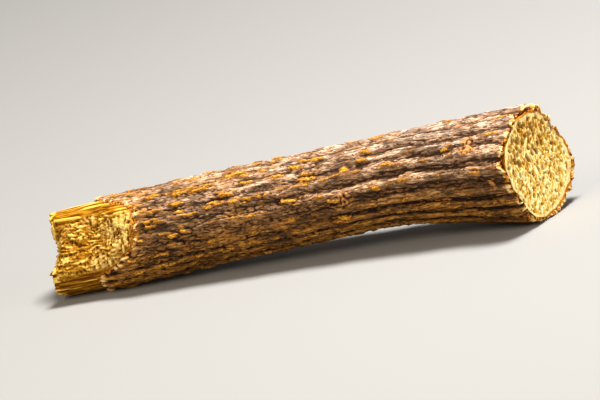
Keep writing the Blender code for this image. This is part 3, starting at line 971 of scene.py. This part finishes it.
def bark_material():
    """Dry brown bark: painted shade in its furrows and cracks and on its underside, greyish on its ridges
    partly as wear and partly as painted highlight, with golden corky flecks and rims.
    """
    nodes = Nodes("bark")
    height = nodes.mask("height")
    streaks = nodes.noise(0.42 * MM, stretch=5, detail=4, rough=0.65)
    patches = nodes.noise(4 * MM, stretch=1.6, detail=2)
    tone = nodes.noise(2 * MM, stretch=3.5, detail=2)
    specks = nodes.noise(0.2 * MM, stretch=1.6, detail=2)
    gaps = nodes.cracks(0.5 * MM, stretch=5)
    colour = bark_ground(nodes, height, streaks, patches, tone)
    colour = bark_darks(nodes, colour, height, streaks, patches, tone, gaps)
    colour = bark_flecks(nodes, colour, specks)
    nodes.put(nodes.shader.inputs["Base Color"], bark_rims(nodes, colour, height))
    rough = nodes.add("ShaderNodeMapRange")
    nodes.put(rough.inputs["Value"], height)
    rough.inputs["To Min"].default_value = 0.85
    rough.inputs["To Max"].default_value = 0.6
    nodes.put(nodes.shader.inputs["Roughness"], rough.outputs["Result"])
    nodes.shader.inputs["Specular IOR Level"].default_value = 0.15
    relief = nodes.sum(nodes.sum(specks, streaks), nodes.step(gaps, 0.0, 0.1))
    nodes.bump(relief, distance=0.14 * MM, strength=0.8)
    return nodes.material


def cut_colour(nodes, grain, strand, split, ring):
    """The cut wood: cream strands on yellow, darker on its upper part as painted shade, with a pale and a
    dark ring at its edge.
    """
    cream = nodes.mix(split, *CUT_CREAM)
    colour = nodes.mix(nodes.step(strand, 0.42, 0.86), nodes.mix(split, *CUT_YELLOW), cream)
    colour = nodes.mix(nodes.times(nodes.step(strand, 0.34, 0.05), 0.85), colour, CUT_DARK)
    colour = nodes.mix(nodes.times(nodes.step(grain, 0.56, 0.72), 0.5), colour, cream)
    colour = nodes.mix(nodes.times(nodes.step(ring, 0.85, 0.89), 0.7), colour, PALE_RING)
    return nodes.mix(nodes.step(ring, 0.93, 0.955), colour, DARK_RING)


def hollow_colour(nodes, grain, strand):
    """The torn wood in the hollow: pale tufts over dark gold, paler where it runs crosswise."""
    colour = nodes.mix(nodes.step(strand, 0.14, 0.44), *HOLLOW_GOLD)
    colour = nodes.mix(nodes.step(strand, 0.58, 0.92), colour, HOLLOW_PALE)
    soft = nodes.times(nodes.mask("soft"), nodes.step(strand, 0.3, 0.75))
    colour = nodes.mix(nodes.times(soft, 0.75), colour, HOLLOW_SOFT)
    return nodes.mix(nodes.times(nodes.step(grain, 0.58, 0.7), 0.6), colour, HOLLOW_GRAIN)


def stub_colour(nodes, grain, fibres, strand, split, ring):
    """The bare wood: golden fibres, its hollow, and a crust along the bark's torn edge."""
    colour = nodes.mix(nodes.step(fibres, 0.40, 0.6), *FIBRE_GOLD)
    colour = nodes.mix(nodes.step(strand, 0.7, 0.95), colour, FIBRE_PALE)
    colour = nodes.mix(nodes.times(nodes.step(strand, 0.4, 0.1), 0.9), colour, FIBRE_DARK)
    colour = nodes.mix(split, colour, hollow_colour(nodes, grain, strand))
    crust = nodes.mix(nodes.step(grain, 0.4, 0.6), *CRUST)
    return nodes.mix(nodes.times(ring, 0.9), colour, crust)


def wood_material():
    """Dry yellow wood: cream strands and dark pores on the cut, darker on its upper part as painted shade,
    golden fibres on the broken end, and painted shade in the low parts of its rough tip.
    """
    nodes = Nodes("wood")
    grain = nodes.noise(0.3 * MM)
    fibres = nodes.noise(0.3 * MM, stretch=14)
    strand = nodes.mask("strand")
    split = nodes.mask("split")
    ring = nodes.mask("ring")
    stub = stub_colour(nodes, grain, fibres, strand, split, ring)
    cut = cut_colour(nodes, grain, strand, split, ring)
    colour = nodes.mix(nodes.mask("cut"), stub, cut)
    # the pores' brown, and painted shade in the low parts of the broken tip
    colour = nodes.mix(nodes.times(nodes.mask("pit_and_tip_shade"), 0.95), colour, PIT_BROWN_AND_TIP_SHADE)
    nodes.put(nodes.shader.inputs["Base Color"], colour)
    nodes.shader.inputs["Roughness"].default_value = 0.75
    nodes.shader.inputs["Specular IOR Level"].default_value = 0.06
    nodes.bump(nodes.sum(grain, fibres), distance=0.08 * MM, strength=0.5)
    return nodes.material


def make_floor():
    """A plain pale floor."""
    bpy.ops.mesh.primitive_plane_add(size=8)
    floor = bpy.context.object
    floor.name = "floor"
    nodes = Nodes("floor")
    nodes.put(nodes.shader.inputs["Base Color"], FLOOR_GREY)
    nodes.shader.inputs["Roughness"].default_value = 0.9
    floor.data.materials.append(nodes.material)


def add_light(name, place, size, power, colour):
    """A soft square light that faces the stem."""
    data = bpy.data.lights.new(name, "AREA")
    data.size = size
    data.energy = power
    data.color = colour
    light = bpy.data.objects.new(name, data)
    light.location = place
    light.rotation_mode = "QUATERNION"
    light.rotation_quaternion = Vector(place).to_track_quat("Z", "Y")
    bpy.context.scene.collection.objects.link(light)


def make_lights():
    """A soft light high above, a weaker one toward the cut, a warm one in front, and a pale surround."""
    add_light("key", (0.12, 0.05, 0.48), 0.15, 6.0, (1.0, 0.98, 0.95))
    add_light("face", (0.5, -0.16, 0.14), 0.2, 0.95, (1.0, 0.97, 0.92))
    add_light("front", (-0.1, -0.42, 0.4), 0.3, 1.4, (1.0, 0.84, 0.62))
    world = bpy.data.worlds.new("surround")
    world.use_nodes = True
    background = world.node_tree.nodes["Background"]
    background.inputs["Color"].default_value = (1.0, 0.97, 0.93, 1)
    background.inputs["Strength"].default_value = 0.22
    bpy.context.scene.world = world
    bpy.context.scene.view_settings.view_transform = "Standard"


def make_camera():
    """A camera at the photograph's angle, turned a little so that the stem rises to the right."""
    data = bpy.data.cameras.new("camera")
    data.lens = LENS_MM
    data.sensor_width = SENSOR_MM
    data.clip_start = 0.01
    back = Vector(
        (
            math.sin(AZIMUTH) * math.cos(ELEVATION),
            -math.cos(AZIMUTH) * math.cos(ELEVATION),
            math.sin(ELEVATION),
        )
    )
    camera = bpy.data.objects.new("camera", data)
    low, high = CAD_BOX
    middle = (Vector(low) + Vector(high)) / 2
    camera.location = middle + back * (VIEW_WIDTH * LENS_MM / SENSOR_MM)
    camera.rotation_mode = "QUATERNION"
    camera.rotation_quaternion = back.to_track_quat("Z", "Y") @ Quaternion((0, 0, 1), -ROLL)
    bpy.context.scene.collection.objects.link(camera)
    bpy.context.scene.camera = camera


make_camera()
stem = Solid(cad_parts["stem"])
make_bark(stem)
make_wood(stem)
make_floor()
make_lights()
